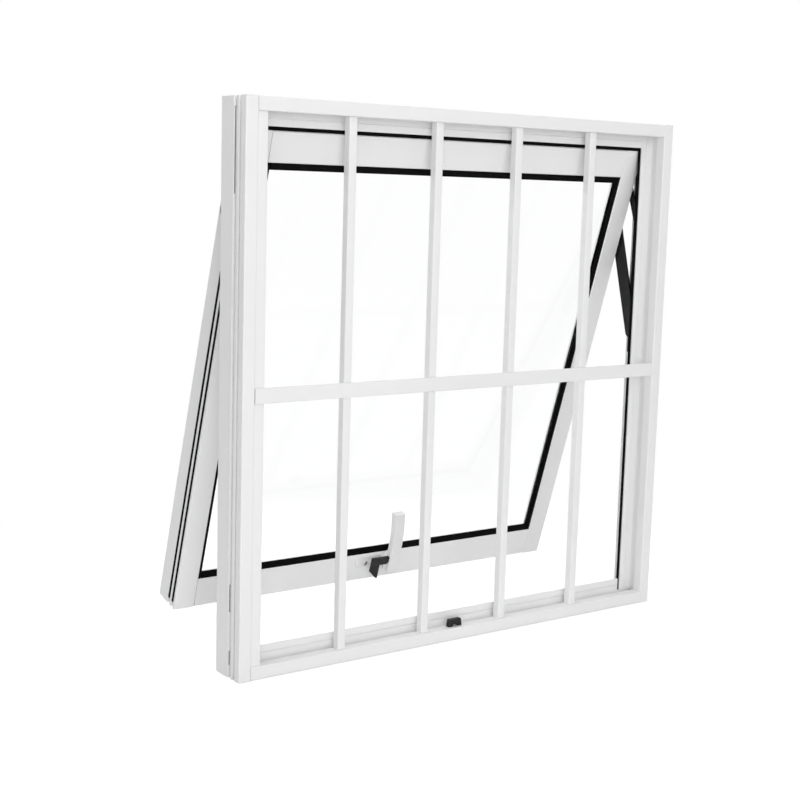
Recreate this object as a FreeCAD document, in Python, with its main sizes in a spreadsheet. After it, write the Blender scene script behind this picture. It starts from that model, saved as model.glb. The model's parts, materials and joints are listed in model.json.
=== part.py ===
import FreeCAD, Part
import math
import os
import Sketcher

# Top hung awning window: a square outer frame with a fixed grille on the room side and one glazed
# leaf, swung outward at its foot on a pair of side stays. Lengths in millimetres, +Z up, the room
# on the -Y side, the origin at the middle of the sill's flat underside.

doc = FreeCAD.newDocument("AwningWindow")
sheet = doc.addObject("Spreadsheet::Sheet", "Sizes")

SIZES = [
    ("frame_width", 600.0),
    ("frame_height", 600.0),
    ("frame_depth", 49.0),
    ("face_width", 14.5),
    ("tube_depth", 13.0),
    ("wall", 1.5),
    ("edge_round", 1.4),
    ("web_face", 9.5),
    ("rebate_depth", 24.5),
    ("flange_reach", 28.0),
    ("flange_thick", 1.5),
    ("box_reach", 13.0),
    ("anchor_depth", 4.0),
    ("anchor_front", 9.8),
    ("rib_front", 14.7),
    ("rib_back", 18.2),
    ("line_place", 20.0),
    ("line_width", 0.6),
    ("line_deep", 0.4),
    ("slot_gap", 1.2),
    ("foot_slot_low", 13.0),
    ("foot_slot_high", 28.0),
    ("low_slot_low", 70.0),
    ("low_slot_high", 100.0),
    ("top_slot_long", 86.0),
    ("top_slot_drop", 10.0),
    ("seal_root", 24.0),
    ("seal_reach", 31.8),
    ("seal_thick", 1.4),
    ("sill_seal_drop", 5.2),
    ("head_joint", 0.3),
    ("sill_joint", 3.4),
    ("bar_edge", 115.25),
    ("bar_width", 9.8),
    ("bar_depth", 9.8),
    ("bar_front", 3.2),
    ("bar_wall", 1.2),
    ("bar_round", 1.2),
    ("cross_height", 16.0),
    ("cross_thick", 2.7),
    ("cross_round", 1.0),
    ("cross_gap", 0.8),
    ("side_bar_gap", 0.6),
    ("side_bar_width", 12.2),
    ("side_bar_thick", 3.0),
    ("side_bar_round", 0.8),
    ("side_gap", 9.0),
    ("leaf_short", 35.3),
    ("leaf_depth", 38.0),
    ("leaf_top_drop", 32.0),
    ("leaf_clear", 0.2),
    ("leaf_tilt", 16.7),
    ("stile_face", 26.0),
    ("top_rail_face", 34.0),
    ("bottom_rail_face", 36.5),
    ("leaf_round", 1.5),
    ("lip_reach", 5.0),
    ("lip_depth", 10.0),
    ("lip_thick", 2.0),
    ("heel_reach", 11.0),
    ("skirt_thick", 2.0),
    ("channel_front", 3.5),
    ("channel_back", 17.0),
    ("channel_depth", 5.0),
    ("fin_width", 4.6),
    ("fin_proud", 0.4),
    ("fin_round", 1.0),
    ("strip_foot", 8.0),
    ("glass_thick", 4.0),
    ("glass_depth", 4.0),
    ("glass_bite", 3.5),
    ("rail_bead_reach", 8.0),
    ("stile_bead_reach", 4.4),
    ("bead_front", 1.2),
    ("bead_shoulder", 3.0),
    ("bead_nose", 2.8),
    ("tape_reach", 4.6),
    ("stay_thick", 2.2),
    ("stay_width", 17.5),
    ("link_width", 8.0),
    ("track_width", 12.5),
    ("track_set", 11.0),
    ("track_lip", 1.5),
    ("track_edge", 1.6),
    ("track_foot_drop", 282.0),
    ("track_head_drop", 40.0),
    ("arm_set", 0.4),
    ("arm_foot_drop", 255.0),
    ("arm_top_run", 91.4),
    ("arm_top_depth", 20.5),
    ("link_foot_drop", 115.0),
    ("link_top_run", 32.3),
    ("link_top_depth", 20.5),
    ("plate_clear", 0.1),
    ("plate_top_run", 12.0),
    ("plate_length", 92.0),
    ("rivet_radius", 3.4),
    ("keeper_width", 19.4),
    ("keeper_height", 8.8),
    ("keeper_front", 5.5),
    ("keeper_depth", 5.0),
    ("keeper_left", 10.7),
    ("keeper_round", 1.0),
    ("keeper_taper", 1.6),
    ("keeper_arch", 4.0),
    ("keeper_arch_rise", 2.2),
    ("base_left", 31.5),
    ("base_right", 33.0),
    ("base_height", 14.0),
    ("base_thick", 2.4),
    ("base_round", 3.0),
    ("base_soft", 1.2),
    ("base_drop", 20.5),
    ("hub_offset", 15.5),
    ("hub_height", 27.0),
    ("hub_radius", 12.5),
    ("hub_thick", 9.6),
    ("pin_radius", 4.0),
    ("pin_length", 1.8),
    ("pin_play", 0.06),
    ("hub_gap", 0.4),
    ("lever_width", 15.5),
    ("lever_length", 71.0),
    ("lever_rise", 7.0),
    ("lever_thick", 8.0),
    ("lever_bend", 28.0),
    ("lever_lean", 6.0),
    ("lever_soft", 1.8),
    ("tongue_thick", 4.0),
    ("tongue_reach", 32.4),
    ("tongue_rise", 10.5),
    ("tongue_height", 9.2),
    ("tongue_drop", 27.6),
    ("tongue_width", 11.5),
    ("tongue_bevel", 9.0),
    ("tongue_tip", 2.5),
]


class Dim:
    """A length that carries its number and the sheet formula it comes from."""

    def __init__(self, value, text):
        self.value = float(value)
        self.text = text

    def _join(self, other, sign):
        number = other.value if isinstance(other, Dim) else float(other)
        words = other.text if isinstance(other, Dim) else repr(float(other))
        text = "(" + self.text + " " + sign + " " + words + ")"
        if sign == "+":
            return Dim(self.value + number, text)
        if sign == "-":
            return Dim(self.value - number, text)
        if sign == "*":
            return Dim(self.value * number, text)
        return Dim(self.value / number, text)

    def __add__(self, other):
        return self._join(other, "+")

    def __sub__(self, other):
        return self._join(other, "-")

    def __mul__(self, other):
        return self._join(other, "*")

    def __truediv__(self, other):
        return self._join(other, "/")

    def __neg__(self):
        return Dim(-self.value, "(0 - " + self.text + ")")


for row, (name, value) in enumerate(SIZES, start=1):
    sheet.set("A" + str(row), name)
    sheet.set("B" + str(row), repr(value))
    sheet.setAlias("B" + str(row), name)
doc.recompute()

size = {name: Dim(value, "Sizes." + name) for name, value in SIZES}
ZERO = Dim(0.0, "0")
NODES = []

# Sizes that follow from the ones above
cross_length = size["frame_width"] - size["face_width"] * 2
bar_pitch = (cross_length - size["bar_edge"] * 2) / 3
flange_back = size["rebate_depth"] + size["flange_thick"]
leaf_width = size["frame_width"] - (size["box_reach"] + size["side_gap"]) * 2
leaf_height = size["frame_height"] - size["leaf_short"]
box_back = size["lip_depth"] + size["lip_thick"]
heel_back = size["channel_back"] + size["wall"]
plate_half = size["arm_top_depth"] - size["channel_back"] - size["plate_clear"]
leaf_top_depth = flange_back + size["seal_thick"] + size["leaf_clear"]
track_middle = flange_back + size["track_set"]


def as_dim(value):
    return value if isinstance(value, Dim) else Dim(value, repr(float(value)))


def fix_point(sketch, geo, pos, x, y):
    """Ties one sketch point to its sheet formulas, measured from the sketch origin."""
    for kind, axis, length in (("DistanceX", -2, x), ("DistanceY", -1, y)):
        if length.text == "0":
            sketch.addConstraint(Sketcher.Constraint("PointOnObject", geo, pos, axis))
        else:
            index = sketch.addConstraint(Sketcher.Constraint(kind, -1, 1, geo, pos, length.value))
            sketch.setExpression("Constraints[" + str(index) + "]", length.text)


def unit_step(start, end):
    """Signs of the axis aligned step from one corner to the next."""
    dx = end[0].value - start[0].value
    dy = end[1].value - start[1].value
    return (dx > 1e-6) - (dx < -1e-6), (dy > 1e-6) - (dy < -1e-6)


def shifted(corner, step, radius):
    x = corner[0] if step[0] == 0 else corner[0] + radius * step[0]
    y = corner[1] if step[1] == 0 else corner[1] + radius * step[1]
    return x, y


def add_loop(sketch, corners):
    """Closed outline through the corners; a third entry rounds a square corner by that radius."""
    corners = [tuple(as_dim(entry) for entry in corner) for corner in corners]
    count = len(corners)
    ends = []
    for i, corner in enumerate(corners):
        if len(corner) == 2:
            ends.append((corner, corner, None))
            continue
        before = shifted(corner, unit_step(corner, corners[i - 1]), corner[2])
        after = shifted(corner, unit_step(corner, corners[(i + 1) % count]), corner[2])
        ends.append((before, after, corner))
    lines = []
    for i in range(count):
        start = ends[i][1]
        end = ends[(i + 1) % count][0]
        first = FreeCAD.Vector(start[0].value, start[1].value, 0)
        last = FreeCAD.Vector(end[0].value, end[1].value, 0)
        lines.append(sketch.addGeometry(Part.LineSegment(first, last), False))
    for i in range(count):
        before, after, corner = ends[i]
        line_in = lines[i - 1]
        line_out = lines[i]
        if corner is None:
            sketch.addConstraint(Sketcher.Constraint("Coincident", line_in, 2, line_out, 1))
            fix_point(sketch, line_out, 1, *after)
            continue
        add_round(sketch, line_in, line_out, before, after, corner)


def add_round(sketch, line_in, line_out, before, after, corner):
    """Quarter round between two square edges, held by its two ends and its centre."""
    centre = FreeCAD.Vector(before[0].value + after[0].value - corner[0].value,
                            before[1].value + after[1].value - corner[1].value, 0)
    start = FreeCAD.Vector(before[0].value, before[1].value, 0) - centre
    end = FreeCAD.Vector(after[0].value, after[1].value, 0) - centre
    turns_left = start.cross(end).z > 0
    low = start if turns_left else end
    angle = math.atan2(low.y, low.x)
    circle = Part.Circle(centre, FreeCAD.Vector(0, 0, 1), corner[2].value)
    arc = sketch.addGeometry(Part.ArcOfCircle(circle, angle, angle + math.pi / 2), False)
    first, last = (1, 2) if turns_left else (2, 1)
    sketch.addConstraint(Sketcher.Constraint("Coincident", line_in, 2, arc, first))
    sketch.addConstraint(Sketcher.Constraint("Coincident", line_out, 1, arc, last))
    fix_point(sketch, line_in, 2, *before)
    fix_point(sketch, line_out, 1, *after)
    radius = sketch.addConstraint(Sketcher.Constraint("Radius", arc, corner[2].value))
    sketch.setExpression("Constraints[" + str(radius) + "]", corner[2].text)


def add_circle(sketch, x, y, radius):
    middle = FreeCAD.Vector(x.value, y.value, 0)
    circle = sketch.addGeometry(Part.Circle(middle, FreeCAD.Vector(0, 0, 1), radius.value), False)
    fix_point(sketch, circle, 3, x, y)
    index = sketch.addConstraint(Sketcher.Constraint("Radius", circle, radius.value))
    sketch.setExpression("Constraints[" + str(index) + "]", radius.text)


def new_body(label):
    body = doc.addObject("PartDesign::Body", label)
    body.Label = label
    NODES.append(body)
    return body


def new_sketch(body, role, offset=None):
    plane = [feature for feature in body.Origin.OriginFeatures if feature.Role == role][0]
    sketch = body.newObject("Sketcher::SketchObject", body.Name + "_sketch")
    sketch.AttachmentSupport = [(plane, "")]
    sketch.MapMode = "FlatFace"
    if offset is not None:
        sketch.setExpression("AttachmentOffset.Base.z", offset.text)
    return sketch


def add_pad(body, sketch, length, reverse=False):
    pad = body.newObject("PartDesign::Pad", body.Name + "_pad")
    pad.Profile = sketch
    pad.Length = length.value
    pad.setExpression("Length", length.text)
    pad.Reversed = reverse
    sketch.Visibility = False
    return pad


def add_pocket(body, sketch, length=None, reverse=False):
    pocket = body.newObject("PartDesign::Pocket", body.Name + "_pocket")
    pocket.Profile = sketch
    if length is None:
        pocket.Type = "ThroughAll"
        pocket.Midplane = True
    else:
        pocket.Length = length.value
        pocket.setExpression("Length", length.text)
        pocket.Reversed = reverse
    sketch.Visibility = False
    return pocket


def extrude(label, loops, length, role="XY_Plane"):
    """One body whose section is the outer loop less the inner ones, padded along its length."""
    body = new_body(label)
    sketch = new_sketch(body, role)
    for loop in loops:
        add_loop(sketch, loop)
    add_pad(body, sketch, length)
    return body


def soften(body, chosen, radius):
    """Rounds the edges of a body whose middle the test picks."""
    doc.recompute()
    feature = body.Tip
    names = ["Edge" + str(i + 1) for i, edge in enumerate(feature.Shape.Edges) if chosen(edge.CenterOfMass)]
    fillet = body.newObject("PartDesign::Fillet", body.Name + "_fillet")
    fillet.Base = (feature, names)
    fillet.Radius = radius.value
    fillet.setExpression("Radius", radius.text)


def rectangle(left, low, right, high, radius=None):
    corners = [(left, low), (right, low), (right, high), (left, high)]
    return corners if radius is None else [corner + (radius,) for corner in corners]


def notch_ends(body, inner, outer, foot, top, length):
    """Cuts a flange back at both ends of a bar, so that the crossing bar's flange runs through."""
    sketch = new_sketch(body, "XZ_Plane")
    add_loop(sketch, rectangle(inner, ZERO, outer, foot))
    add_loop(sketch, rectangle(inner, length - top, outer, length))
    add_pocket(body, sketch)


def notch_flange(body, inner, cut, length):
    """Cuts a frame bar's flange back at both ends, at the crossing bar."""
    outer = size["flange_reach"] + 1
    sketch = new_sketch(body, "XZ_Plane", -size["rebate_depth"])
    add_loop(sketch, rectangle(inner, ZERO, outer, cut))
    add_loop(sketch, rectangle(inner, length - cut, outer, length))
    add_pocket(body, sketch, size["flange_thick"] + size["wall"])


AXIS_X = FreeCAD.Vector(1, 0, 0)
AXIS_Y = FreeCAD.Vector(0, 1, 0)

# The row's origin lies under the middle of the sill's rear box.
room_face = -(size["rebate_depth"] + size["frame_depth"]).value / 2
half_width = size["frame_width"] / 2


def world(x, depth, z):
    """Point from the middle, the depth behind the room face and the height above the sill foot."""
    return FreeCAD.Vector(x, room_face + depth, z)


def place(body, x, depth, z, axis=AXIS_Y, angle=0.0):
    body.Placement = FreeCAD.Placement(world(x, depth, z), FreeCAD.Rotation(axis, angle))


# Outer frame: one hollow section for all four sides. The section's first axis runs inward from
# the outer edge, its second from the room face outward.
def frame_section():
    face, tube, wall = size["face_width"], size["tube_depth"], size["wall"]
    web, rebate, depth = size["web_face"], size["rebate_depth"], size["frame_depth"]
    reach, thick, box = size["flange_reach"], size["flange_thick"], size["box_reach"]
    anchor, soft = size["anchor_depth"], size["edge_round"]
    line, half_line = size["line_place"], size["line_width"] / 2
    outer = [
        (ZERO, ZERO, soft),
        (face, ZERO, soft),
        (face, tube),
        (web, tube),
        (web, rebate),
        (line - half_line, rebate),
        (line - half_line, rebate + size["line_deep"]),
        (line + half_line, rebate + size["line_deep"]),
        (line + half_line, rebate),
        (reach, rebate),
        (reach, rebate + thick),
        (box, rebate + thick),
        (box, depth),
        (ZERO, depth),
        (ZERO, rebate),
        (anchor, rebate),
        (anchor, size["rib_back"]),
        (ZERO, size["rib_back"]),
        (ZERO, size["rib_front"]),
        (anchor, size["rib_front"]),
        (anchor, size["anchor_front"]),
        (ZERO, size["anchor_front"]),
    ]
    tube_hollow = [
        (wall, wall),
        (face - wall, wall),
        (face - wall, tube - wall),
        (anchor + wall, tube - wall),
        (anchor + wall, size["anchor_front"] - wall),
        (wall, size["anchor_front"] - wall),
    ]
    neck_hollow = rectangle(anchor + wall, tube, web - wall, rebate)
    box_hollow = rectangle(wall, rebate + wall, box - wall, depth - wall)
    return [outer, tube_hollow, neck_hollow, box_hollow]


def frame_bar(label, length):
    return extrude(label, frame_section(), length)


jamb_length = size["frame_height"]


def anchor_slots(body, from_top):
    """Slots for wall anchors in the rear box's front wall, by the groove on the wall side."""
    top = jamb_length - size["top_slot_drop"]
    spans = [(size["foot_slot_low"], size["foot_slot_high"]), (size["low_slot_low"], size["low_slot_high"]),
             (top - size["top_slot_long"], top)]
    sketch = new_sketch(body, "XZ_Plane", -size["rebate_depth"])
    for low, high in spans:
        ends = (jamb_length - high, jamb_length - low) if from_top else (low, high)
        add_loop(sketch, rectangle(size["wall"], ends[0], size["anchor_depth"] - size["slot_gap"], ends[1]))
    add_pocket(body, sketch, size["wall"])


for label, x, z, angle in (("left_jamb", -half_width.value, 0.0, 0.0),
                           ("right_jamb", half_width.value, jamb_length.value, 180.0)):
    jamb = frame_bar(label, jamb_length)
    notch_flange(jamb, size["face_width"], size["box_reach"], jamb_length)
    anchor_slots(jamb, angle != 0.0)
    place(jamb, x, 0, z, AXIS_Y, angle)
flange_end = size["flange_reach"] - size["face_width"]
sill = frame_bar("sill", cross_length)
notch_flange(sill, size["box_reach"], flange_end + size["sill_joint"], cross_length)
place(sill, cross_length.value / 2, 0, 0, AXIS_Y, -90)
head = frame_bar("head", cross_length)
notch_flange(head, size["box_reach"], flange_end + size["head_joint"], cross_length)
place(head, -cross_length.value / 2, 0, jamb_length.value, AXIS_Y, 90)


# Black seal on the outer side of the frame's flange, with a lip that shows past its edge. The sill's
# lies lower and stays hidden, and the jambs' run down past it to the sill's rear box.
def frame_seal(label, length, drop=ZERO):
    root, tip = size["seal_root"] - drop, size["seal_reach"] - drop
    loop = [
        (root, flange_back),
        (tip, flange_back),
        (tip, flange_back + size["seal_thick"] / 2),
        (tip - size["seal_thick"], flange_back + size["seal_thick"]),
        (root, flange_back + size["seal_thick"]),
    ]
    return extrude(label, [loop], length)


head_seal = size["frame_width"] - size["seal_root"] * 2
sill_seal = size["frame_width"] - size["seal_reach"] * 2
jamb_seal = size["frame_height"] - size["seal_reach"] - size["box_reach"]
seal_head = (size["frame_height"] - size["seal_reach"]).value
place(frame_seal("sill_seal", sill_seal, size["sill_seal_drop"]), sill_seal.value / 2, 0, 0, AXIS_Y, -90)
place(frame_seal("head_seal", head_seal), -head_seal.value / 2, 0, jamb_length.value, AXIS_Y, 90)
place(frame_seal("left_seal", jamb_seal), -half_width.value, 0, size["box_reach"].value)
place(frame_seal("right_seal", jamb_seal), half_width.value, 0, seal_head, AXIS_Y, 180)

# Fixed grille: upright tubes and a flat bar beside the left jamb between sill and head, one flat bar
# across their room side.
bar_length = size["frame_height"] - size["face_width"] * 2
for i in range(4):
    half = size["bar_width"] / 2
    thin = size["bar_wall"]
    outer = rectangle(-half, ZERO, half, size["bar_depth"], size["bar_round"])
    inner = rectangle(-half + thin, thin, half - thin, size["bar_depth"] - thin)
    bar = extrude("grille_bar_" + str(i + 1), [outer, inner], bar_length)
    place(bar, (i - 1.5) * bar_pitch.value, size["bar_front"].value, size["face_width"].value)

grille_width = cross_length - size["cross_gap"] * 2
cross = extrude("grille_cross_bar",
                [rectangle(-size["cross_height"] / 2, ZERO, size["cross_height"] / 2,
                           size["cross_thick"], size["cross_round"])], grille_width)
place(cross, grille_width.value / 2, (size["bar_front"] - size["cross_thick"]).value,
      size["frame_height"].value / 2, AXIS_Y, -90)
side_bar = extrude("grille_side_bar", [rectangle(size["side_bar_gap"], ZERO,
                                                 size["side_bar_gap"] + size["side_bar_width"],
                                                 size["side_bar_thick"], size["side_bar_round"])], bar_length)
place(side_bar, -cross_length.value / 2, size["bar_front"].value, size["face_width"].value)

# Keeper: a small tapered block on the sill's front tube, arched underneath.
hub_back = size["base_thick"] + size["hub_gap"]
tongue_back = hub_back + size["hub_thick"]
keeper_half = size["keeper_width"] / 2
keeper_high = size["keeper_height"]
keeper_top = keeper_half - size["keeper_taper"]
arch, arch_top = size["keeper_arch"], size["keeper_arch_rise"]
keeper = extrude("keeper", [[
    (-keeper_half, ZERO),
    (-arch, ZERO),
    (-arch / 2, arch_top),
    (arch / 2, arch_top),
    (arch, ZERO),
    (keeper_half, ZERO),
    (keeper_top, keeper_high),
    (-keeper_top, keeper_high),
]], size["keeper_depth"], "XZ_Plane")
soften(keeper, lambda middle: middle.z > keeper_high.value - 0.01 and abs(middle.x) > 1, size["keeper_round"])
place(keeper, -size["keeper_left"].value, (size["keeper_front"] + size["keeper_depth"]).value,
      size["face_width"].value)

# Leaf: its own frame has the origin at the middle of the room side's bottom edge, x across, y from
# the room face outward and z up the leaf.
tilt = size["leaf_tilt"].value
leaf_high = leaf_height.value
leaf_top = world(0, leaf_top_depth.value, size["frame_height"].value - size["leaf_top_drop"].value)
leaf_turn = FreeCAD.Rotation(AXIS_X, tilt)
leaf_frame = FreeCAD.Placement(leaf_top - leaf_turn.multVec(FreeCAD.Vector(0, 0, leaf_high)), leaf_turn)
half_leaf = leaf_width / 2


def place_leaf(body, x, y, z, axis=AXIS_Y, angle=0.0):
    local = FreeCAD.Placement(FreeCAD.Vector(x, y, z), FreeCAD.Rotation(axis, angle))
    body.Placement = leaf_frame.multiply(local)


def leaf_section(face):
    """Hollow leaf bar: two channels for weatherstrips outside, a glazing lip inside, a skirt behind."""
    wall, depth, soft = size["wall"], size["leaf_depth"], size["leaf_round"]
    heel, skirt = size["heel_reach"], size["skirt_thick"]
    front, back, deep = size["channel_front"], size["channel_back"], size["channel_depth"]
    lip, fin = size["lip_depth"], size["fin_width"]
    outer = [
        (ZERO, ZERO, soft),
        (face, ZERO, soft),
        (face, lip),
        (face + size["lip_reach"], lip),
        (face + size["lip_reach"], box_back),
        (heel, box_back),
        (heel, heel_back),
        (skirt, heel_back),
        (skirt, depth),
        (ZERO, depth),
        (ZERO, back),
        (deep, back),
        (deep, back - fin),
        (ZERO, back - fin),
        (ZERO, front + fin),
        (deep, front + fin),
        (deep, front),
        (ZERO, front),
    ]
    hollow = [
        (deep + wall, wall),
        (face - wall, wall),
        (face - wall, box_back - wall),
        (heel - wall, box_back - wall),
        (heel - wall, heel_back - wall),
        (deep + wall, heel_back - wall),
    ]
    return [outer, hollow]


def leaf_rail(label, face):
    """Rail between the stiles, its skirt run on behind them to meet their own."""
    rail = extrude(label, leaf_section(face), rail_length)
    for start, reverse in ((None, True), (rail_length, False)):
        sketch = new_sketch(rail, "XY_Plane", start)
        add_loop(sketch, rectangle(ZERO, heel_back, size["skirt_thick"], size["leaf_depth"]))
        add_pad(rail, sketch, size["stile_face"] - size["skirt_thick"], reverse)
    return rail


rail_length = leaf_width - size["stile_face"] * 2
for label, x, z, angle in (("leaf_left_stile", -half_leaf.value, 0.0, 0.0),
                           ("leaf_right_stile", half_leaf.value, leaf_high, 180.0)):
    stile = extrude(label, leaf_section(size["stile_face"]), leaf_height)
    ends = [size["bottom_rail_face"] + size["lip_reach"], size["top_rail_face"] + size["lip_reach"]]
    if angle:
        ends.reverse()
    notch_ends(stile, size["stile_face"], size["stile_face"] + size["lip_reach"] + 1, ends[0], ends[1],
               leaf_height)
    place_leaf(stile, x, 0, z, AXIS_Y, angle)
bottom_rail = leaf_rail("leaf_bottom_rail", size["bottom_rail_face"])
place_leaf(bottom_rail, rail_length.value / 2, 0, 0, AXIS_Y, -90)
top_rail = leaf_rail("leaf_top_rail", size["top_rail_face"])
place_leaf(top_rail, -rail_length.value / 2, 0, leaf_high, AXIS_Y, 90)


# Black weatherstrips in the leaf's two outer channels.
def weatherstrip(label, length, front):
    deep, proud, tip = size["channel_depth"], size["fin_proud"], size["fin_round"]
    back = front + size["fin_width"]
    return extrude(label, [[(deep, front), (deep, back), (-proud, back, tip), (-proud, front, tip)]], length)


strip_upright = leaf_height - size["strip_foot"]
for end, front in (("_inner", size["channel_front"]), ("_outer", size["channel_back"] - size["fin_width"])):
    place_leaf(weatherstrip("weatherstrip_left" + end, strip_upright, front),
               -half_leaf.value, 0, size["strip_foot"].value)
    place_leaf(weatherstrip("weatherstrip_right" + end, strip_upright, front),
               half_leaf.value, 0, leaf_high, AXIS_Y, 180)
    place_leaf(weatherstrip("weatherstrip_bottom" + end, rail_length, front),
               rail_length.value / 2, 0, 0, AXIS_Y, -90)
    place_leaf(weatherstrip("weatherstrip_top" + end, rail_length, front),
               -rail_length.value / 2, 0, leaf_high, AXIS_Y, 90)

# Glass, its outer tape and the black wedge seals on the room side.
bite = size["lip_reach"] - size["glass_bite"]
glass_left = -half_leaf + size["stile_face"] + bite
glass_foot = size["bottom_rail_face"] + bite
glass_head = leaf_height - size["top_rail_face"] - bite
pane = extrude("glass_pane", [rectangle(glass_left, glass_foot, -glass_left, glass_head)],
               size["glass_thick"], "XZ_Plane")
place_leaf(pane, 0, (size["glass_depth"] + size["glass_thick"]).value, 0)

tape_outer = rectangle(glass_left, glass_foot, -glass_left, glass_head)
tape_left = -half_leaf + size["stile_face"] + size["tape_reach"]
tape_foot = size["bottom_rail_face"] + size["tape_reach"]
tape_head = leaf_height - size["top_rail_face"] - size["tape_reach"]
tape_inner = rectangle(tape_left, tape_foot, -tape_left, tape_head)
tape = extrude("glazing_tape", [tape_outer, tape_inner],
               size["lip_depth"] - size["glass_depth"] - size["glass_thick"], "XZ_Plane")
place_leaf(tape, 0, size["lip_depth"].value, 0)


def glazing_seal(label, face, reach, length):
    loop = [
        (face, size["bead_front"]),
        (face + size["bead_shoulder"], size["bead_front"]),
        (face + reach, size["bead_nose"]),
        (face + reach, size["glass_depth"]),
        (face, size["glass_depth"]),
    ]
    return extrude(label, [loop], length)


rail_bead, stile_bead = size["rail_bead_reach"], size["stile_bead_reach"]
seal_across = rail_length - stile_bead * 2
seal_upright = leaf_height - size["top_rail_face"] - size["bottom_rail_face"]
place_leaf(glazing_seal("glazing_seal_left", size["stile_face"], stile_bead, seal_upright),
           -half_leaf.value, 0, size["bottom_rail_face"].value)
place_leaf(glazing_seal("glazing_seal_right", size["stile_face"], stile_bead, seal_upright),
           half_leaf.value, 0, leaf_high - size["top_rail_face"].value, AXIS_Y, 180)
place_leaf(glazing_seal("glazing_seal_bottom", size["bottom_rail_face"], rail_bead, seal_across),
           seal_across.value / 2, 0, 0, AXIS_Y, -90)
place_leaf(glazing_seal("glazing_seal_top", size["top_rail_face"], rail_bead, seal_across),
           -seal_across.value / 2, 0, leaf_high, AXIS_Y, 90)

# Side stays: a track on each jamb, a plate on the leaf's side, a long arm and a short link.
track_face = half_width - size["box_reach"] - size["stay_thick"]
arm_face = half_leaf + size["stay_thick"]
rivet_length = track_face - arm_face - size["stay_thick"]


def leaf_point(run, depth):
    """World point on the leaf, by its run down from the top edge and depth from the room face."""
    return leaf_frame.multVec(FreeCAD.Vector(0, depth, leaf_high - run))


def bar_on_side(label, reach, width, side, foot, top):
    """Flat round-ended stay bar, with the rivet that carries its foot on the track."""
    body = new_body(label)
    sketch = new_sketch(body, "XY_Plane")
    half = width / 2
    add_slot(sketch, reach, half)
    add_pad(body, sketch, size["stay_thick"])
    rivet = new_sketch(body, "XY_Plane", size["stay_thick"])
    add_circle(rivet, ZERO, ZERO, size["rivet_radius"])
    add_pad(body, rivet, rivet_length)
    along = top - foot
    along.x = 0
    along.normalize()
    out = FreeCAD.Vector(side, 0, 0)
    turn = FreeCAD.Rotation(along, out.cross(along), out, "ZXY")
    base = FreeCAD.Vector(side * arm_face.value, foot.y, foot.z)
    body.Placement = FreeCAD.Placement(base, turn)
    return body


def add_slot(sketch, reach, half):
    """Outline of a round-ended bar from the sketch origin along its first axis."""
    low = sketch.addGeometry(Part.LineSegment(FreeCAD.Vector(0, -half.value, 0),
                                              FreeCAD.Vector(reach.value, -half.value, 0)), False)
    far = FreeCAD.Vector(reach.value, 0, 0)
    near = FreeCAD.Vector(0, 0, 0)
    up = FreeCAD.Vector(0, 0, 1)
    quarter = math.pi / 2
    right_arc = Part.ArcOfCircle(Part.Circle(far, up, half.value), -quarter, quarter)
    right = sketch.addGeometry(right_arc, False)
    high = sketch.addGeometry(Part.LineSegment(FreeCAD.Vector(reach.value, half.value, 0),
                                               FreeCAD.Vector(0, half.value, 0)), False)
    left_arc = Part.ArcOfCircle(Part.Circle(near, up, half.value), quarter, 3 * quarter)
    left = sketch.addGeometry(left_arc, False)
    for first, second in ((low, right), (right, high), (high, left), (left, low)):
        sketch.addConstraint(Sketcher.Constraint("Tangent", first, 2, second, 1))
    sketch.addConstraint(Sketcher.Constraint("Coincident", left, 3, -1, 1))
    fix_point(sketch, right, 3, reach, ZERO)
    radius = sketch.addConstraint(Sketcher.Constraint("Radius", left, half.value))
    sketch.setExpression("Constraints[" + str(radius) + "]", half.text)


def reach_cell(name, foot, top):
    """Length between two pivots, kept in the sheet beside the sizes it follows from."""
    length = math.hypot(top.y - foot.y, top.z - foot.z)
    SIZES.append((name, round(length, 4)))
    row = len(SIZES)
    sheet.set("A" + str(row), name)
    sheet.set("B" + str(row), repr(round(length, 4)))
    sheet.setAlias("B" + str(row), name)
    size[name] = Dim(round(length, 4), "Sizes." + name)
    return size[name]


arm_depth = (track_middle - size["arm_set"]).value
arm_foot = world(0, arm_depth, (size["frame_height"] - size["arm_foot_drop"]).value)
arm_top = leaf_point(size["arm_top_run"].value, size["arm_top_depth"].value)
link_foot = world(0, track_middle.value, (size["frame_height"] - size["link_foot_drop"]).value)
link_top = leaf_point(size["link_top_run"].value, size["link_top_depth"].value)
arm_reach = reach_cell("arm_reach", arm_foot, arm_top)
link_reach = reach_cell("link_reach", link_foot, link_top)
doc.recompute()
track_length = size["track_foot_drop"] - size["track_head_drop"]
track_foot = size["frame_height"] - size["track_foot_drop"]
for side, name in ((-1, "left"), (1, "right")):
    bar_on_side(name + "_stay_arm", arm_reach, size["stay_width"], side, arm_foot, arm_top)
    bar_on_side(name + "_stay_link", link_reach, size["link_width"], side, link_foot, link_top)
    wide = size["track_width"] / 2
    floor, lip = size["stay_thick"] * side, -size["track_lip"] * side
    track = extrude(name + "_stay_track", [[
        (floor, -wide),
        (floor, wide),
        (lip, wide),
        (lip, wide - size["track_edge"]),
        (ZERO, wide - size["track_edge"]),
        (ZERO, -wide + size["track_edge"]),
        (lip, -wide + size["track_edge"]),
        (lip, -wide),
    ]], track_length)
    place(track, side * track_face.value, track_middle.value, track_foot.value)
    plate = extrude(name + "_stay_plate",
                    [rectangle(ZERO, -plate_half, size["stay_thick"], plate_half)],
                    size["plate_length"])
    plate_x = half_leaf.value if side > 0 else -half_leaf.value - size["stay_thick"].value
    place_leaf(plate, plate_x, size["arm_top_depth"].value,
               leaf_high - size["plate_top_run"].value - size["plate_length"].value)

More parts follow.
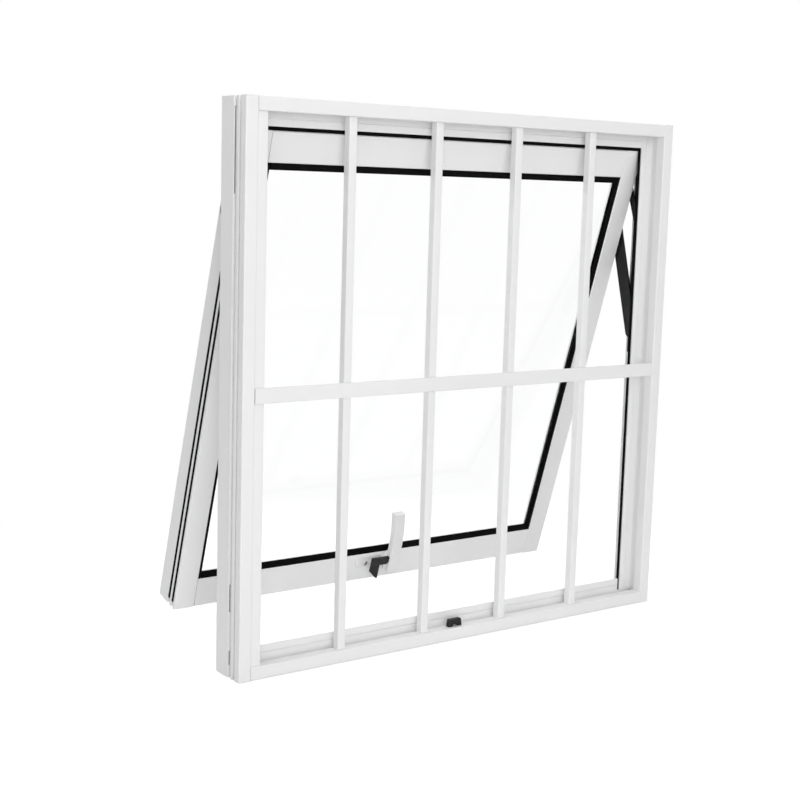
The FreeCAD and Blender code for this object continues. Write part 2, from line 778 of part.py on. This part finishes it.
# Handle on the leaf's bottom rail: a base, a lever that turns on a pin, and the lever's black tongue.
hub_x = size["hub_offset"]
hub_z = size["hub_height"]
base = new_body("handle_base")
base_sketch = new_sketch(base, "XZ_Plane")
add_loop(base_sketch, rectangle(-size["base_left"], size["base_drop"], size["base_right"],
                                size["base_drop"] + size["base_height"], size["base_round"]))
add_pad(base, base_sketch, size["base_thick"])
soften(base, lambda middle: middle.y < 0.01 - size["base_thick"].value, size["base_soft"])
bore = new_sketch(base, "XZ_Plane", size["base_thick"])
add_circle(bore, hub_x, hub_z, size["pin_radius"] + size["pin_play"])
add_pocket(base, bore, size["pin_length"])
place_leaf(base, 0, 0, 0)

lever = new_body("handle_lever")
lever_front = size["base_thick"] + size["lever_rise"] + size["lever_thick"]
half_grip = size["lever_width"] / 2
hub_sketch = new_sketch(lever, "XZ_Plane", hub_back)
add_circle(hub_sketch, hub_x, hub_z, size["hub_radius"])
add_pad(lever, hub_sketch, lever_front - hub_back)
step_sketch = new_sketch(lever, "XZ_Plane", lever_front)
add_loop(step_sketch, rectangle(hub_x - size["hub_radius"] * 2, hub_z - size["hub_radius"] * 2,
                                hub_x - half_grip, hub_z + size["hub_radius"] * 2))
add_pocket(lever, step_sketch, lever_front - tongue_back)
grip_sketch = new_sketch(lever, "XZ_Plane", size["base_thick"] + size["lever_rise"])
bend_z = hub_z + size["lever_bend"]
top_z = hub_z + size["lever_length"]
half_way = (bend_z + top_z) / 2
lean = size["lever_lean"]
add_loop(grip_sketch, [
    (hub_x - half_grip, hub_z),
    (hub_x + half_grip, hub_z),
    (hub_x + half_grip, bend_z),
    (hub_x + half_grip - lean * 0.36, half_way),
    (hub_x + half_grip - lean, top_z),
    (hub_x - half_grip - lean, top_z),
    (hub_x - half_grip - lean * 0.36, half_way),
    (hub_x - half_grip, bend_z),
])
add_pad(lever, grip_sketch, size["lever_thick"])
soften(lever, lambda middle: middle.y < 0.01 - lever_front.value, size["lever_soft"])
pin_sketch = new_sketch(lever, "XZ_Plane", hub_back)
add_circle(pin_sketch, hub_x, hub_z, size["pin_radius"])
add_pad(lever, pin_sketch, size["pin_length"], True)
place_leaf(lever, 0, 0, 0)

tongue = new_body("handle_tongue")
tongue_sketch = new_sketch(tongue, "XZ_Plane", tongue_back)
tongue_left = hub_x - size["tongue_reach"]
tongue_top = hub_z + size["tongue_rise"]
tongue_foot = tongue_top - size["tongue_drop"]
tongue_inner = tongue_left + size["tongue_width"]
add_loop(tongue_sketch, [
    (tongue_left, tongue_top),
    (tongue_left, tongue_foot + size["tongue_bevel"]),
    (tongue_left + size["tongue_bevel"], tongue_foot),
    (tongue_inner, tongue_foot),
    (tongue_inner, tongue_top - size["tongue_height"]),
    (hub_x - half_grip - size["tongue_tip"], tongue_top - size["tongue_height"]),
    (hub_x - half_grip, tongue_top - size["tongue_height"] + size["tongue_tip"]),
    (hub_x - half_grip, tongue_top),
])
add_pad(tongue, tongue_sketch, size["tongue_thick"])
place_leaf(tongue, 0, 0, 0)

doc.recompute()
for item in doc.Objects:
    bad = [word for word in item.State if word in ("Invalid", "Error")]
    if bad:
        raise RuntimeError(item.Label + " did not build: " + ", ".join(bad))
for node in NODES:
    if node.Shape.isNull() or not node.Shape.isValid():
        raise RuntimeError(node.Label + " has no valid shape")
    if len(node.Shape.Solids) != 1:
        raise RuntimeError(node.Label + " is not one solid")

os.makedirs("parts", exist_ok=True)
for node in NODES:
    node.Shape.exportStep(os.path.join("parts", node.Label + ".step"))
print(len(NODES), "nodes written")
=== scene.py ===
import json
import math

import bmesh
import bpy
from mathutils import Matrix, Vector


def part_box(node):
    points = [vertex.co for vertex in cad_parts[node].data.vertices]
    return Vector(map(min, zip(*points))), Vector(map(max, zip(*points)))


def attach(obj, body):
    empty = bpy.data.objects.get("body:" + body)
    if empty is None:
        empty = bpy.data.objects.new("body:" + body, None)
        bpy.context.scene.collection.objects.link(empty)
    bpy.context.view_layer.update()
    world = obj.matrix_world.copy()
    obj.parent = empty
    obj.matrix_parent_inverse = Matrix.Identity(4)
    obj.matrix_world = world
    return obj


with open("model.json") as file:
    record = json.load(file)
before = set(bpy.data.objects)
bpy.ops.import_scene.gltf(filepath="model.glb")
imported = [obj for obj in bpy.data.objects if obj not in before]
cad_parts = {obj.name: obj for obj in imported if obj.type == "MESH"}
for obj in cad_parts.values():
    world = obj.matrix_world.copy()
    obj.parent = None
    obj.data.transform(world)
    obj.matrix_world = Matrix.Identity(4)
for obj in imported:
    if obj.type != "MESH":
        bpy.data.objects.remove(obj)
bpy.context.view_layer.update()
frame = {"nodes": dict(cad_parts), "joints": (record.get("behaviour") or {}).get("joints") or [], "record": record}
nodes = frame["nodes"]

MM = 0.001
ACROSS, UPRIGHT = 0, 2

# Facts repeated from the part, in millimetres
HALF_LEAF = 278.0
LEAF_HEIGHT = 564.7
STAY_THICK = 2.2
TRACK_FACE = 284.8
ROOM_FACE = -36.75
# Stay feet: depth behind the room face and height; stay tops: run down the leaf and depth in it
ARM_FOOT = (36.6, 345.0)
LINK_FOOT = (37.0, 485.0)
ARM_TOP = (91.4, 20.5)
LINK_TOP = (32.3, 20.5)
HUB = (15.5, -2.4, 27.0)

# Fixings: radius and height of each head, then their places, in millimetres
PLATE_SCREW = (2.8, 1.0)
TRACK_SCREW = (3.2, 1.0)
HANDLE_SCREW = (3.5, 1.4)
ARM_RIVET = (4.6, 1.3)
LINK_RIVET = (3.5, 1.2)
PLATE_SCREW_RUNS = (17.0, 62.0)
TRACK_SCREW_HEIGHTS = (326.0, 420.0, 552.0)
HANDLE_SCREW_X, HANDLE_SCREW_UP = -17.2, 24.2
# How far the screws' recesses are turned, in radians: the first, and the step from screw to screw
PLATE_TURN, PLATE_TURN_STEP = 0.5, 0.9
TRACK_TURN, TRACK_TURN_STEP = 0.2, 1.1
HANDLE_TURN = 0.35
SHARP_ANGLE = math.radians(34)

# The leaf's own frame, from the handle's hinge: x across, n outward from the room, up along the leaf
hinge = frame["joints"][0]
LEAF_X = Vector((1, 0, 0))
LEAF_N = Vector(hinge["axis"]).normalized()
LEAF_UP = LEAF_X.cross(LEAF_N)
LEAF_FOOT = Vector(hinge["pos_m"]) - (LEAF_X * HUB[0] + LEAF_N * HUB[1] + LEAF_UP * HUB[2]) * MM


def leaf_point(x, n, up):
    """Row-frame point from leaf coordinates in millimetres."""
    return LEAF_FOOT + (LEAF_X * x + LEAF_N * n + LEAF_UP * up) * MM


# Materials
WHITE = (0.848, 0.848, 0.848)
ENAMEL = (0.843, 0.843, 0.843)
COAT_ROUGHNESS = 0.42
NOISE_LOW, NOISE_HIGH = 0.3, 0.7
EDGE_SAMPLES = 4
# Numbers of a Mix node's colour sockets
MIX_FIRST, MIX_SECOND, MIX_RESULT = 6, 7, 2


def tinted(tone, share):
    """A colour made lighter or darker by a share."""
    return tuple(min(1.0, c * share) for c in tone)


class Graph:
    """A small builder for one procedural material."""

    def __init__(self, name):
        self.material = bpy.data.materials.new(name)
        self.material.use_nodes = True
        self.tree = self.material.node_tree
        self.shader = self.tree.nodes["Principled BSDF"]

    def node(self, kind, **values):
        item = self.tree.nodes.new(kind)
        for key, value in values.items():
            setattr(item, key, value)
        return item

    def link(self, source, target):
        self.tree.links.new(source, target)

    def set(self, **values):
        """Constants on the shader's own sockets."""
        for key, value in values.items():
            self.shader.inputs[key.replace("_", " ")].default_value = value

    def coords(self, scale):
        """Object coordinates, which are the row frame at rest, scaled by axis."""
        where = self.node("ShaderNodeTexCoord")
        mapping = self.node("ShaderNodeMapping")
        mapping.inputs["Scale"].default_value = scale
        self.link(where.outputs["Object"], mapping.inputs["Vector"])
        return mapping.outputs["Vector"]

    def noise(self, scale, stretch=(1, 1, 1), detail=3.0, rough=0.5):
        texture = self.node("ShaderNodeTexNoise")
        texture.inputs["Scale"].default_value = scale
        texture.inputs["Detail"].default_value = detail
        texture.inputs["Roughness"].default_value = rough
        self.link(self.coords(stretch), texture.inputs["Vector"])
        return texture.outputs["Fac"]

    def drawn_lines(self, axis, across, along):
        """Noise drawn out along one axis, like the lines an extrusion die leaves."""
        stretch = [across, across, across]
        stretch[axis] = along
        return self.noise(1.0, tuple(stretch), detail=2.0)

    def ramp(self, source, stops):
        """Colour ramp with (position, colour) stops; a plain number stands for a grey."""
        ramp = self.node("ShaderNodeValToRGB")
        elements = ramp.color_ramp.elements
        while len(elements) < len(stops):
            elements.new(0.5)
        for element, (position, colour) in zip(elements, stops):
            element.position = position
            if isinstance(colour, (int, float)):
                colour = (colour, colour, colour)
            element.color = (*colour, 1.0)
        self.link(source, ramp.inputs["Fac"])
        return ramp.outputs["Color"]

    def spread(self, source, low, high):
        """Maps the middle of a noise onto a range."""
        spread = self.node("ShaderNodeMapRange")
        limits = (("From Min", NOISE_LOW), ("From Max", NOISE_HIGH), ("To Min", low), ("To Max", high))
        for key, value in limits:
            spread.inputs[key].default_value = value
        self.link(source, spread.inputs["Value"])
        return spread.outputs["Result"]

    def blend(self, first, second, factor, mode="MIX"):
        mix = self.node("ShaderNodeMix", data_type="RGBA", blend_type=mode)
        sockets = (mix.inputs["Factor"], mix.inputs[MIX_FIRST], mix.inputs[MIX_SECOND])
        for socket, value in zip(sockets, (factor, first, second)):
            if isinstance(value, (int, float)):
                socket.default_value = value
            elif isinstance(value, tuple):
                socket.default_value = (*value, 1.0)
            else:
                self.link(value, socket)
        return mix.outputs[MIX_RESULT]

    def occlusion(self, distance, inside=False):
        """Shade in corners, or at thin edges when looked for inside the piece."""
        shade = self.node("ShaderNodeAmbientOcclusion", samples=EDGE_SAMPLES, inside=inside)
        shade.inputs["Distance"].default_value = distance
        return shade.outputs["AO"]

    def bump(self, height, distance, strength, below=None):
        bump = self.node("ShaderNodeBump")
        bump.inputs["Strength"].default_value = strength
        bump.inputs["Distance"].default_value = distance
        self.link(height, bump.inputs["Height"])
        if below is not None:
            self.link(below, bump.inputs["Normal"])
        return bump.outputs["Normal"]

    def soft_edges(self, radius):
        bevel = self.node("ShaderNodeBevel", samples=EDGE_SAMPLES)
        bevel.inputs["Radius"].default_value = radius
        return bevel.outputs["Normal"]

    def colour(self, source):
        self.link(source, self.shader.inputs["Base Color"])

    def roughness(self, source):
        self.link(source, self.shader.inputs["Roughness"])

    def normal(self, source):
        self.link(source, self.shader.inputs["Normal"])


def powder_coat(name, tone, axis):
    """White powder coat on an extruded bar: fine orange peel, faint die lines along the bar, and painted shade in
    its corners.
    """
    g = Graph(name)
    drift = g.noise(scale=5.0, detail=4.0)
    body = g.ramp(drift, [(0.32, tinted(tone, 0.982)), (0.5, tone), (0.68, tinted(tone, 1.012))])
    # Painted shade: the colour is darkened by up to a twentieth where corners and recesses are occluded
    painted_shade = g.ramp(g.occlusion(distance=0.006), [(0.1, 0.95), (0.6, 1.0)])
    g.colour(g.blend(body, painted_shade, 1.0, "MULTIPLY"))
    g.roughness(g.spread(g.noise(scale=70.0), low=COAT_ROUGHNESS - 0.05, high=COAT_ROUGHNESS + 0.06))
    peel = g.noise(scale=1500.0, detail=2.0)
    swell = g.noise(scale=260.0, detail=2.0)
    lines = g.drawn_lines(axis, across=900.0, along=6.0)
    normal = g.bump(peel, distance=0.00003, strength=0.35, below=g.soft_edges(radius=0.0006))
    normal = g.bump(swell, distance=0.00005, strength=0.25, below=normal)
    g.normal(g.bump(lines, distance=0.00002, strength=0.2, below=normal))
    g.set(IOR=1.5)
    return g.material


def painted_casting(name, tone):
    """Smooth white enamel over a die casting, with painted shade in its corners."""
    g = Graph(name)
    drift = g.noise(scale=30.0, detail=4.0)
    body = g.ramp(drift, [(0.3, tinted(tone, 0.975)), (0.7, tone)])
    # Painted shade: the colour is darkened by up to a tenth where corners and recesses are occluded
    painted_shade = g.ramp(g.occlusion(distance=0.004), [(0.1, 0.9), (0.7, 1.0)])
    g.colour(g.blend(body, painted_shade, 1.0, "MULTIPLY"))
    g.roughness(g.spread(g.noise(scale=240.0), low=0.3, high=0.4))
    grain = g.noise(scale=900.0, detail=2.0)
    swell = g.noise(scale=120.0, detail=2.0)
    normal = g.bump(grain, distance=0.00003, strength=0.3, below=g.soft_edges(radius=0.0008))
    g.normal(g.bump(swell, distance=0.00008, strength=0.25, below=normal))
    g.set(IOR=1.5, Coat_Weight=0.25, Coat_Roughness=0.18)
    return g.material


def rubber(name, axis):
    """Black extruded rubber: matt, faint drag lines along its length and a trace of pale bloom."""
    g = Graph(name)
    bloom = g.noise(scale=45.0, detail=6.0, rough=0.65)
    g.colour(g.ramp(bloom, [(0.35, 0.0015), (0.62, 0.003), (0.8, 0.007)]))
    g.roughness(g.spread(g.noise(scale=160.0), low=0.6, high=0.76))
    lines = g.drawn_lines(axis, across=1400.0, along=10.0)
    grain = g.noise(scale=2200.0, detail=2.0)
    normal = g.bump(lines, distance=0.00004, strength=0.5, below=g.soft_edges(radius=0.0004))
    g.normal(g.bump(grain, distance=0.00003, strength=0.4, below=normal))
    g.set(Specular_IOR_Level=0.05)
    return g.material


def coated_steel(name):
    """Black electrocoat on stamped steel, rubbed a little brighter along its edges."""
    g = Graph(name)
    cloud = g.noise(scale=55.0, detail=5.0, rough=0.6)
    base = g.ramp(cloud, [(0.3, (0.006, 0.006, 0.007)), (0.7, (0.014, 0.014, 0.015))])
    edge = g.ramp(g.occlusion(distance=0.0009, inside=True), [(0.3, 0.25), (0.7, 0.0)])
    scratch = g.noise(scale=1.0, stretch=(900.0, 900.0, 60.0), detail=4.0, rough=0.7)
    rubbed = g.ramp(scratch, [(0.62, 0.0), (0.8, 0.5)])
    g.colour(g.blend(base, (0.13, 0.13, 0.135), g.blend(edge, rubbed, 1.0, "MULTIPLY")))
    g.roughness(g.spread(g.noise(scale=300.0), low=0.36, high=0.52))
    grain = g.noise(scale=1300.0, detail=2.0)
    normal = g.bump(scratch, distance=0.00002, strength=0.3, below=g.soft_edges(radius=0.0005))
    g.normal(g.bump(grain, distance=0.00003, strength=0.3, below=normal))
    g.set(Metallic=0.0, IOR=1.5, Specular_IOR_Level=0.25)
    return g.material


def moulded_plastic(name):
    """Black moulded plastic with a fine spark grain."""
    g = Graph(name)
    cloud = g.noise(scale=60.0, detail=4.0)
    g.colour(g.ramp(cloud, [(0.3, (0.008, 0.008, 0.009)), (0.7, (0.018, 0.018, 0.019))]))
    g.roughness(g.spread(g.noise(scale=420.0), low=0.42, high=0.58))
    grain = g.node("ShaderNodeTexVoronoi")
    grain.inputs["Scale"].default_value = 1900.0
    g.link(g.coords((1, 1, 1)), grain.inputs["Vector"])
    edges = g.soft_edges(radius=0.0007)
    g.normal(g.bump(grain.outputs["Distance"], distance=0.00004, strength=0.45, below=edges))
    g.set(IOR=1.46, Specular_IOR_Level=0.25)
    return g.material


def bright_steel(name):
    """Zinc plate on the handle's screw head."""
    g = Graph(name)
    cloud = g.noise(scale=420.0, detail=5.0, rough=0.6)
    g.colour(g.ramp(cloud, [(0.3, (0.45, 0.45, 0.44)), (0.7, (0.62, 0.62, 0.61))]))
    g.roughness(g.spread(g.noise(scale=900.0), low=0.26, high=0.42))
    g.normal(g.bump(g.noise(scale=2600.0), distance=0.00002, strength=0.4))
    g.set(Metallic=1.0)
    return g.material


def float_glass(name):
    """Clear float glass with a trace of green, waviness and dust, and a weak mirror image."""
    g = Graph(name)
    tint = g.noise(scale=3.0, detail=2.0)
    g.colour(g.ramp(tint, [(0.3, (0.984, 0.99, 0.988)), (0.7, (0.991, 0.995, 0.994))]))
    dust = g.noise(scale=30.0, detail=6.0, rough=0.7)
    g.roughness(g.ramp(dust, [(0.55, 0.0), (0.9, 0.03)]))
    g.normal(g.bump(g.noise(scale=9.0, detail=1.0), distance=0.0004, strength=0.02))
    g.set(Transmission_Weight=1.0, IOR=1.45, Specular_Tint=(0.2, 0.2, 0.2, 1.0))
    return g.material


coats = {
    ACROSS: powder_coat("white_coat_across", WHITE, ACROSS),
    UPRIGHT: powder_coat("white_coat_upright", WHITE, UPRIGHT),
}
rubbers = {
    ACROSS: rubber("black_rubber_across", ACROSS),
    UPRIGHT: rubber("black_rubber_upright", UPRIGHT),
}
enamel = painted_casting("white_enamel", ENAMEL)
steel = coated_steel("black_steel")
plastic = moulded_plastic("black_plastic")
zinc = bright_steel("zinc_plate")
glass = float_glass("float_glass")


def run_of(name):
    """The axis a bar or strip runs along."""
    low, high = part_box(name)
    return ACROSS if high.x - low.x > high.z - low.z else UPRIGHT


slot_of = {part["node"]: part["material_slot"] for part in frame["record"]["subparts"]}
for name, obj in nodes.items():
    chosen = {
        "white_coat": coats[run_of(name)],
        "black_rubber": rubbers[run_of(name)],
        "white_handle": enamel,
        "black_metal": steel,
        "black_plastic": plastic,
        "clear_glass": glass,
    }[slot_of[name]]
    if not obj.material_slots:
        obj.data.materials.append(chosen)
    for item in obj.material_slots:
        item.material = chosen
nodes["glass_pane"].visible_shadow = False


# Fixings, true to scale
def lathe(profile, steps=40):
    """Mesh of a profile of (radius, height) points turned about z; a zero radius closes it."""
    bm = bmesh.new()
    rings = []
    for radius, height in profile:
        if radius == 0.0:
            rings.append([bm.verts.new((0, 0, height))])
        else:
            rings.append([bm.verts.new((radius * math.cos(a), radius * math.sin(a), height))
                          for a in (2 * math.pi * i / steps for i in range(steps))])
    for low, high in zip(rings, rings[1:]):
        for i in range(steps):
            j = (i + 1) % steps
            corners = [low[i % len(low)], low[j % len(low)], high[j % len(high)], high[i % len(high)]]
            unique = list(dict.fromkeys(corners))
            if len(unique) > 2:
                bm.faces.new(unique)
    bmesh.ops.recalc_face_normals(bm, faces=bm.faces)
    return bm


def head_profile(radius, height):
    """Half section of a domed head with a rounded rim, from the underside's middle to the crown."""
    underside, rim, fullness, steps = 0.96, 0.12, 0.4, 8
    points = [(0.0, 0.0), (radius * underside, 0.0), (radius, height * rim)]
    for i in range(1, steps):
        a = math.pi / 2 * i / steps
        points.append((radius * math.cos(a) ** fullness, height * (rim + (1 - rim) * math.sin(a))))
    points.append((0.0, height))
    return [(r * MM, h * MM) for r, h in points]


def cross_cutter(arm, wide, deep, top):
    """Tapered cross for a screw recess, from a little above the crown down to its floor."""
    above, taper = 0.3, 0.55
    sides = ((3, 2, 1, 0), (4, 5, 6, 7), (0, 1, 5, 4), (1, 2, 6, 5), (2, 3, 7, 6), (3, 0, 4, 7))
    bm = bmesh.new()
    for turn in (0.0, math.pi / 2):
        spin = Matrix.Rotation(turn, 3, "Z")
        corners = []
        for z, share in ((top + above, 1.0), (top - deep, taper)):
            for x, y in ((-arm, -wide), (arm, -wide), (arm, wide), (-arm, wide)):
                corners.append(bm.verts.new(spin @ Vector((x * share, y, z)) * MM))
        for side in sides:
            bm.faces.new([corners[i] for i in side])
    bmesh.ops.recalc_face_normals(bm, faces=bm.faces)
    return bm


def mesh_from(bm, name):
    mesh = bpy.data.meshes.new(name)
    bm.to_mesh(mesh)
    bm.free()
    return mesh


def object_from(bm, name):
    obj = bpy.data.objects.new(name, mesh_from(bm, name))
    bpy.context.scene.collection.objects.link(obj)
    return obj


def screw_mesh(radius, height):
    """Domed head with a cross recess cut into its crown."""
    arm, wide, deep = radius * 0.62, radius * 0.13, height * 0.8
    head = object_from(lathe(head_profile(radius, height)), "screw_head")
    cutter = object_from(cross_cutter(arm, wide, deep, height), "screw_cross")
    cut = head.modifiers.new("recess", "BOOLEAN")
    cut.operation = "DIFFERENCE"
    cut.solver = "EXACT"
    cut.use_self = True
    cut.object = cutter
    mesh = bpy.data.meshes.new_from_object(head.evaluated_get(bpy.context.evaluated_depsgraph_get()))
    for obj in (head, cutter):
        bpy.data.objects.remove(obj)
    return mesh


def rivet_mesh(radius, height):
    """Flat-domed rivet head with the dimple its setting tool leaves, as shares of its size."""
    outline = [(0.0, 0.0), (0.97, 0.0), (1.0, 0.16), (0.98, 0.4), (0.9, 0.68), (0.76, 0.88), (0.58, 0.98),
               (0.44, 1.0), (0.36, 0.96), (0.3, 0.78), (0.2, 0.66), (0.0, 0.62)]
    return mesh_from(lathe([(r * radius * MM, h * height * MM) for r, h in outline]), "rivet_head")


def facing(normal, up_hint, spin=0.0):
    """Rotation that takes z to the given direction."""
    z = Vector(normal).normalized()
    x = Vector(up_hint).cross(z).normalized()
    y = z.cross(x)
    return Matrix((x, y, z)).transposed().to_4x4() @ Matrix.Rotation(spin, 4, "Z")


def gather(name, body, material, items):
    """One piece made of copies of a head mesh, each at a place and turn."""
    bm = bmesh.new()
    for mesh, place, turn in items:
        part = mesh.copy()
        part.transform(Matrix.Translation(place) @ turn)
        bm.from_mesh(part)
        bpy.data.meshes.remove(part)
    obj = object_from(bm, name)
    obj.data.materials.append(material)
    for polygon in obj.data.polygons:
        polygon.use_smooth = True
    obj.data.set_sharp_from_angle(angle=SHARP_ANGLE)
    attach(obj, body)


plate_screw = screw_mesh(*PLATE_SCREW)
track_screw = screw_mesh(*TRACK_SCREW)
handle_screw = screw_mesh(*HANDLE_SCREW)
arm_rivet = rivet_mesh(*ARM_RIVET)
link_rivet = rivet_mesh(*LINK_RIVET)

OUTSIDE = Vector((0, 1, 0))
for side, label in ((-1, "left"), (1, "right")):
    inward = Vector((-side, 0, 0))
    outward = Vector((side, 0, 0))
    inner_face = side * (HALF_LEAF + STAY_THICK)
    outer_face = side * (HALF_LEAF + 2 * STAY_THICK)
    rivets = []
    for rivet, foot_at, top_at in ((arm_rivet, ARM_FOOT, ARM_TOP), (link_rivet, LINK_FOOT, LINK_TOP)):
        foot = Vector((inner_face, ROOM_FACE + foot_at[0], foot_at[1])) * MM
        rivets.append((rivet, foot, facing(inward, OUTSIDE)))
        top = leaf_point(outer_face, top_at[1], LEAF_HEIGHT - top_at[0])
        rivets.append((rivet, top, facing(outward, OUTSIDE)))
    gather(label + "_stay_rivets", "window", steel, rivets)
    screws = []
    for index, run in enumerate(PLATE_SCREW_RUNS):
        place = leaf_point(inner_face, ARM_TOP[1], LEAF_HEIGHT - run)
        turn = facing(outward, OUTSIDE, PLATE_TURN + index * PLATE_TURN_STEP)
        screws.append((plate_screw, place, turn))
    for index, height in enumerate(TRACK_SCREW_HEIGHTS):
        place = Vector((side * TRACK_FACE, ROOM_FACE + LINK_FOOT[0], height)) * MM
        turn = facing(inward, OUTSIDE, TRACK_TURN + index * TRACK_TURN_STEP)
        screws.append((track_screw, place, turn))
    gather(label + "_stay_screws", "window", steel, screws)

handle_place = leaf_point(HANDLE_SCREW_X, HUB[1], HANDLE_SCREW_UP)
gather("handle_screw", "window", zinc,
       [(handle_screw, handle_place, facing(-LEAF_N, LEAF_UP, HANDLE_TURN))])

# Stage: pale floor, white surround, soft lamps; lengths in metres
FLOOR_HALF = 9.0
FLOOR_CELLS = 8
FLOOR_DROP = 0.0003
FLOOR_GREY = (0.8, 0.8, 0.8, 1)
FLOOR_LIFT = 0.5
FADE_NEAR = 0.3
FADE_FAR = 0.8
AMBIENT = 0.34
FIRST_SCATTER = 0.5
AIM = Vector((0, 0, 0.3))
# Name, place, width, watts, and whether glossy faces mirror the lamp
LAMPS = (
    ("key", (-1.6, -3.0, 0.5), 1.8, 44, True),
    ("key_high", (-1.6, -3.0, 1.6), 1.8, 16, True),
    ("top_front", (0.0, -1.5, 2.6), 2.0, 14, True),
    ("rear", (-1.6, 2.0, 1.4), 2.0, 5, True),
    ("rear_far", (-0.15, 2.4, 1.2), 1.4, 24, False),
    ("top", (0.2, 0.6, 3.0), 2.4, 16, True),
)


def maths(tree, operation, first, second):
    """Output of a Math node; a number is set on its socket, an output is linked to it."""
    item = tree.nodes.new("ShaderNodeMath")
    item.operation = operation
    for socket, value in zip(item.inputs, (first, second)):
        if isinstance(value, (int, float)):
            socket.default_value = value
        else:
            tree.links.new(value, socket)
    return item.outputs[0]


def mixed(tree, factor, first, second):
    """Output of a Mix Shader node."""
    item = tree.nodes.new("ShaderNodeMixShader")
    for socket, source in zip(item.inputs, (factor, first, second)):
        tree.links.new(source, socket)
    return item.outputs[0]


def direct_rays(tree):
    """One for rays from the camera, straight, mirrored or through glass; nought for scattered light."""
    path = tree.nodes.new("ShaderNodeLightPath")
    seen = path.outputs["Is Camera Ray"]
    for kind in ("Is Glossy Ray", "Is Transmission Ray"):
        seen = maths(tree, "MAXIMUM", seen, path.outputs[kind])
    unscattered = maths(tree, "LESS_THAN", path.outputs["Diffuse Depth"], FIRST_SCATTER)
    return maths(tree, "MULTIPLY", seen, unscattered)


def stage_material(name):
    """Pale floor that keeps the shadow, lifted towards white where it is seen, and white farther out."""
    material = bpy.data.materials.new(name)
    material.use_nodes = True
    tree = material.node_tree
    tree.nodes.clear()
    seen = direct_rays(tree)
    diffuse = tree.nodes.new("ShaderNodeBsdfDiffuse")
    diffuse.inputs["Color"].default_value = FLOOR_GREY
    glow = tree.nodes.new("ShaderNodeEmission")
    tree.links.new(maths(tree, "MULTIPLY", seen, FLOOR_LIFT), glow.inputs["Strength"])
    near = tree.nodes.new("ShaderNodeAddShader")
    tree.links.new(diffuse.outputs[0], near.inputs[0])
    tree.links.new(glow.outputs[0], near.inputs[1])
    where = tree.nodes.new("ShaderNodeTexCoord")
    reach = tree.nodes.new("ShaderNodeVectorMath")
    reach.operation = "LENGTH"
    tree.links.new(where.outputs["Object"], reach.inputs[0])
    fade = tree.nodes.new("ShaderNodeMapRange")
    fade.interpolation_type = "SMOOTHSTEP"
    fade.inputs["From Min"].default_value = FADE_NEAR
    fade.inputs["From Max"].default_value = FADE_FAR
    tree.links.new(reach.outputs["Value"], fade.inputs["Value"])
    share = maths(tree, "MULTIPLY", fade.outputs["Result"], seen)
    far = tree.nodes.new("ShaderNodeEmission")
    out = tree.nodes.new("ShaderNodeOutputMaterial")
    tree.links.new(mixed(tree, share, near.outputs[0], far.outputs[0]), out.inputs["Surface"])
    return material


bm = bmesh.new()
bmesh.ops.create_grid(bm, x_segments=FLOOR_CELLS, y_segments=FLOOR_CELLS, size=FLOOR_HALF)
floor = object_from(bm, "floor")
floor.location.z = -FLOOR_DROP
floor.data.materials.append(stage_material("floor_pale"))

scene = bpy.context.scene
world = scene.world or bpy.data.worlds.new("studio")
scene.world = world
world.use_nodes = True
tree = world.node_tree
tree.nodes.clear()
surrounds = []
for strength in (AMBIENT, 1.0):
    surround = tree.nodes.new("ShaderNodeBackground")
    surround.inputs["Color"].default_value = (1, 1, 1, 1)
    surround.inputs["Strength"].default_value = strength
    surrounds.append(surround.outputs[0])
out = tree.nodes.new("ShaderNodeOutputWorld")
tree.links.new(mixed(tree, direct_rays(tree), *surrounds), out.inputs["Surface"])

for name, place, across, watts, mirrored in LAMPS:
    data = bpy.data.lights.new(name, "AREA")
    data.shape = "DISK"
    data.size = across
    data.energy = watts
    obj = bpy.data.objects.new(name, data)
    obj.location = place
    obj.rotation_euler = (AIM - Vector(place)).to_track_quat("-Z", "Y").to_euler()
    obj.visible_camera = False
    obj.visible_glossy = mirrored
    scene.collection.objects.link(obj)

# Camera, fitted to the window's four front corners
IMAGE_SIDE = 800.0
FOCAL_PIXELS = 1430.0
SENSOR = 36.0
EYE = Vector((-1.01575, -1.28051, 0.50807))
AHEAD = Vector((0.58549, 0.79801, -0.14273)).normalized()
UP_HINT = Vector((0.06110, 0.13213, 0.98935))
right = AHEAD.cross(UP_HINT).normalized()
up = right.cross(AHEAD)
camera_data = bpy.data.cameras.new("camera")
camera_data.sensor_width = SENSOR
camera_data.lens = FOCAL_PIXELS / IMAGE_SIDE * SENSOR
camera = bpy.data.objects.new("camera", camera_data)
camera.matrix_world = Matrix.Translation(EYE) @ Matrix((right, up, -AHEAD)).transposed().to_4x4()
scene.collection.objects.link(camera)
scene.camera = camera
scene.view_settings.view_transform = "Standard"

bpy.context.view_layer.update()
